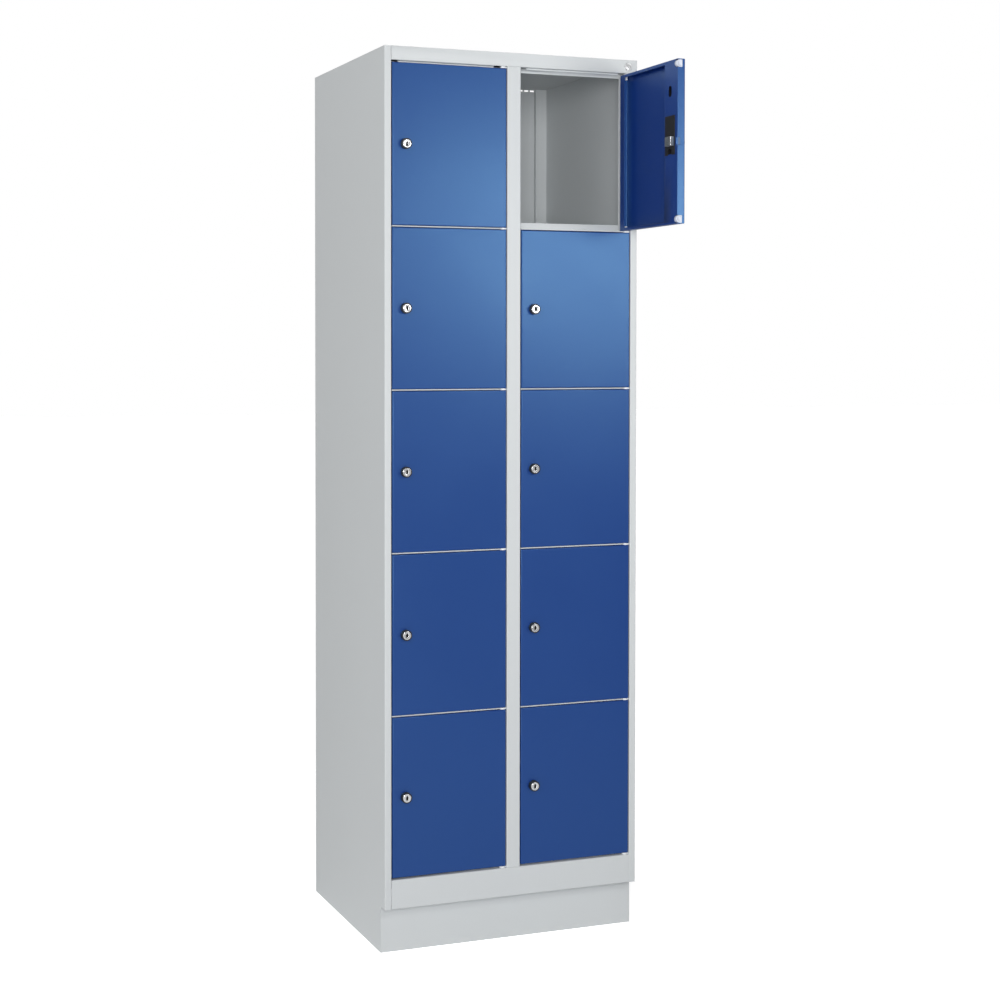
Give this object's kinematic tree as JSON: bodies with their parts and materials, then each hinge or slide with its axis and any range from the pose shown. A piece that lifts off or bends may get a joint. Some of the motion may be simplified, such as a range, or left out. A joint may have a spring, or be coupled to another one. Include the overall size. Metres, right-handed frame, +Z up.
{
  "type": "coin operated locker",
  "caption": "Tall steel locker with two columns of hinged doors, each with a coin deposit lock, on a recessed plinth.",
  "frame": {"origin": "on the floor at the middle of the cabinet's width and depth", "axes": "+X to the right seen from the front, +Y from the doors to the back, +Z up"},
  "size_m": [0.6, 0.7516, 1.95],
  "materials": {
    "grey_paint": "satin powder coat",
    "plinth_paint": "satin powder coat",
    "blue_paint": "satin powder coat",
    "black_plastic": "moulded, fine texture",
    "chrome": "polished",
    "bolt_steel": "nickel plated",
    "satin_metal": "satin",
    "white_nylon": "moulded",
    "white_rubber": "smooth"
  },
  "bodies": {
    "cabinet": {"side_panel_left": "grey_paint", "side_panel_right": "grey_paint", "centre_partition": "grey_paint", "top_panel": "grey_paint", "base_panel": "grey_paint", "back_panel": "grey_paint", "shelves": "grey_paint", "plinth": "plinth_paint", "hinge_pins": "white_nylon", "badge": "satin_metal"},
    "door_left_1": {"door_left_1": "blue_paint", "lock_case_left_1": "black_plastic", "bumpers_left_1": "white_rubber"},
    "key_left_1": {"key_plug_left_1": "chrome"},
    "bolt_left_1": {"lock_bolt_left_1": "bolt_steel"},
    "door_left_2": {"door_left_2": "blue_paint", "lock_case_left_2": "black_plastic", "bumpers_left_2": "white_rubber"},
    "key_left_2": {"key_plug_left_2": "chrome"},
    "bolt_left_2": {"lock_bolt_left_2": "bolt_steel"},
    "door_left_3": {"door_left_3": "blue_paint", "lock_case_left_3": "black_plastic", "bumpers_left_3": "white_rubber"},
    "key_left_3": {"key_plug_left_3": "chrome"},
    "bolt_left_3": {"lock_bolt_left_3": "bolt_steel"},
    "door_left_4": {"door_left_4": "blue_paint", "lock_case_left_4": "black_plastic", "bumpers_left_4": "white_rubber"},
    "key_left_4": {"key_plug_left_4": "chrome"},
    "bolt_left_4": {"lock_bolt_left_4": "bolt_steel"},
    "door_left_5": {"door_left_5": "blue_paint", "lock_case_left_5": "black_plastic", "bumpers_left_5": "white_rubber"},
    "key_left_5": {"key_plug_left_5": "chrome"},
    "bolt_left_5": {"lock_bolt_left_5": "bolt_steel"},
    "door_right_1": {"door_right_1": "blue_paint", "lock_case_right_1": "black_plastic", "bumpers_right_1": "white_rubber"},
    "key_right_1": {"key_plug_right_1": "chrome"},
    "bolt_right_1": {"lock_bolt_right_1": "bolt_steel"},
    "door_right_2": {"door_right_2": "blue_paint", "lock_case_right_2": "black_plastic", "bumpers_right_2": "white_rubber"},
    "key_right_2": {"key_plug_right_2": "chrome"},
    "bolt_right_2": {"lock_bolt_right_2": "bolt_steel"},
    "door_right_3": {"door_right_3": "blue_paint", "lock_case_right_3": "black_plastic", "bumpers_right_3": "white_rubber"},
    "key_right_3": {"key_plug_right_3": "chrome"},
    "bolt_right_3": {"lock_bolt_right_3": "bolt_steel"},
    "door_right_4": {"door_right_4": "blue_paint", "lock_case_right_4": "black_plastic", "bumpers_right_4": "white_rubber"},
    "key_right_4": {"key_plug_right_4": "chrome"},
    "bolt_right_4": {"lock_bolt_right_4": "bolt_steel"},
    "door_right_5": {"door_right_5": "blue_paint", "lock_case_right_5": "black_plastic", "bumpers_right_5": "white_rubber"},
    "key_right_5": {"key_plug_right_5": "chrome"},
    "bolt_right_5": {"lock_bolt_right_5": "bolt_steel"}
  },
  "joints": [
    {"name": "door_hinge_left_1", "type": "hinge", "parent": "cabinet", "child": "door_left_1", "pos_m": [-0.0244, -0.2435, 1.74264], "axis": [0, 0, 1], "range_deg": [0, 102]},
    {"name": "key_turn_left_1", "type": "hinge", "parent": "door_left_1", "child": "key_left_1", "pos_m": [-0.25245, -0.25, 1.74264], "axis": [0, 1, 0], "range_deg": [0, 90]},
    {"name": "bolt_slide_left_1", "type": "slide", "parent": "door_left_1", "child": "bolt_left_1", "axis": [-1, 0, 0], "range_m": [0, 0.006]},
    {"name": "door_hinge_left_2", "type": "hinge", "parent": "cabinet", "child": "door_left_2", "pos_m": [-0.0244, -0.2435, 1.39217], "axis": [0, 0, 1], "range_deg": [0, 102]},
    {"name": "key_turn_left_2", "type": "hinge", "parent": "door_left_2", "child": "key_left_2", "pos_m": [-0.25245, -0.25, 1.39217], "axis": [0, 1, 0], "range_deg": [0, 90]},
    {"name": "bolt_slide_left_2", "type": "slide", "parent": "door_left_2", "child": "bolt_left_2", "axis": [-1, 0, 0], "range_m": [0, 0.006]},
    {"name": "door_hinge_left_3", "type": "hinge", "parent": "cabinet", "child": "door_left_3", "pos_m": [-0.0244, -0.2435, 1.0417], "axis": [0, 0, 1], "range_deg": [0, 102]},
    {"name": "key_turn_left_3", "type": "hinge", "parent": "door_left_3", "child": "key_left_3", "pos_m": [-0.25245, -0.25, 1.0417], "axis": [0, 1, 0], "range_deg": [0, 90]},
    {"name": "bolt_slide_left_3", "type": "slide", "parent": "door_left_3", "child": "bolt_left_3", "axis": [-1, 0, 0], "range_m": [0, 0.006]},
    {"name": "door_hinge_left_4", "type": "hinge", "parent": "cabinet", "child": "door_left_4", "pos_m": [-0.0244, -0.2435, 0.69123], "axis": [0, 0, 1], "range_deg": [0, 102]},
    {"name": "key_turn_left_4", "type": "hinge", "parent": "door_left_4", "child": "key_left_4", "pos_m": [-0.25245, -0.25, 0.69123], "axis": [0, 1, 0], "range_deg": [0, 90]},
    {"name": "bolt_slide_left_4", "type": "slide", "parent": "door_left_4", "child": "bolt_left_4", "axis": [-1, 0, 0], "range_m": [0, 0.006]},
    {"name": "door_hinge_left_5", "type": "hinge", "parent": "cabinet", "child": "door_left_5", "pos_m": [-0.0244, -0.2435, 0.34076], "axis": [0, 0, 1], "range_deg": [0, 102]},
    {"name": "key_turn_left_5", "type": "hinge", "parent": "door_left_5", "child": "key_left_5", "pos_m": [-0.25245, -0.25, 0.34076], "axis": [0, 1, 0], "range_deg": [0, 90]},
    {"name": "bolt_slide_left_5", "type": "slide", "parent": "door_left_5", "child": "bolt_left_5", "axis": [-1, 0, 0], "range_m": [0, 0.006]},
    {"name": "door_hinge_right_1", "type": "hinge", "parent": "cabinet", "child": "door_right_1", "pos_m": [0.276, -0.2435, 1.74264], "axis": [0, 0, 1], "range_deg": [-90, 12]},
    {"name": "key_turn_right_1", "type": "hinge", "parent": "door_right_1", "child": "key_right_1", "pos_m": [0.2825, -0.47155, 1.74264], "axis": [-1, 0, 0], "range_deg": [0, 90]},
    {"name": "bolt_slide_right_1", "type": "slide", "parent": "door_right_1", "child": "bolt_right_1", "axis": [0, -1, 0], "range_m": [0, 0.006]},
    {"name": "door_hinge_right_2", "type": "hinge", "parent": "cabinet", "child": "door_right_2", "pos_m": [0.276, -0.2435, 1.39217], "axis": [0, 0, 1], "range_deg": [0, 102]},
    {"name": "key_turn_right_2", "type": "hinge", "parent": "door_right_2", "child": "key_right_2", "pos_m": [0.04795, -0.25, 1.39217], "axis": [0, 1, 0], "range_deg": [0, 90]},
    {"name": "bolt_slide_right_2", "type": "slide", "parent": "door_right_2", "child": "bolt_right_2", "axis": [-1, 0, 0], "range_m": [0, 0.006]},
    {"name": "door_hinge_right_3", "type": "hinge", "parent": "cabinet", "child": "door_right_3", "pos_m": [0.276, -0.2435, 1.0417], "axis": [0, 0, 1], "range_deg": [0, 102]},
    {"name": "key_turn_right_3", "type": "hinge", "parent": "door_right_3", "child": "key_right_3", "pos_m": [0.04795, -0.25, 1.0417], "axis": [0, 1, 0], "range_deg": [0, 90]},
    {"name": "bolt_slide_right_3", "type": "slide", "parent": "door_right_3", "child": "bolt_right_3", "axis": [-1, 0, 0], "range_m": [0, 0.006]},
    {"name": "door_hinge_right_4", "type": "hinge", "parent": "cabinet", "child": "door_right_4", "pos_m": [0.276, -0.2435, 0.69123], "axis": [0, 0, 1], "range_deg": [0, 102]},
    {"name": "key_turn_right_4", "type": "hinge", "parent": "door_right_4", "child": "key_right_4", "pos_m": [0.04795, -0.25, 0.69123], "axis": [0, 1, 0], "range_deg": [0, 90]},
    {"name": "bolt_slide_right_4", "type": "slide", "parent": "door_right_4", "child": "bolt_right_4", "axis": [-1, 0, 0], "range_m": [0, 0.006]},
    {"name": "door_hinge_right_5", "type": "hinge", "parent": "cabinet", "child": "door_right_5", "pos_m": [0.276, -0.2435, 0.34076], "axis": [0, 0, 1], "range_deg": [0, 102]},
    {"name": "key_turn_right_5", "type": "hinge", "parent": "door_right_5", "child": "key_right_5", "pos_m": [0.04795, -0.25, 0.34076], "axis": [0, 1, 0], "range_deg": [0, 90]},
    {"name": "bolt_slide_right_5", "type": "slide", "parent": "door_right_5", "child": "bolt_right_5", "axis": [-1, 0, 0], "range_m": [0, 0.006]}
  ],
  "couplings": [
    {"joint": "key_turn_left_1", "follows": "bolt_slide_left_1", "rad_per_m": 261.8},
    {"joint": "key_turn_left_2", "follows": "bolt_slide_left_2", "rad_per_m": 261.8},
    {"joint": "key_turn_left_3", "follows": "bolt_slide_left_3", "rad_per_m": 261.8},
    {"joint": "key_turn_left_4", "follows": "bolt_slide_left_4", "rad_per_m": 261.8},
    {"joint": "key_turn_left_5", "follows": "bolt_slide_left_5", "rad_per_m": 261.8},
    {"joint": "key_turn_right_1", "follows": "bolt_slide_right_1", "rad_per_m": 261.8},
    {"joint": "key_turn_right_2", "follows": "bolt_slide_right_2", "rad_per_m": 261.8},
    {"joint": "key_turn_right_3", "follows": "bolt_slide_right_3", "rad_per_m": 261.8},
    {"joint": "key_turn_right_4", "follows": "bolt_slide_right_4", "rad_per_m": 261.8},
    {"joint": "key_turn_right_5", "follows": "bolt_slide_right_5", "rad_per_m": 261.8}
  ]
}
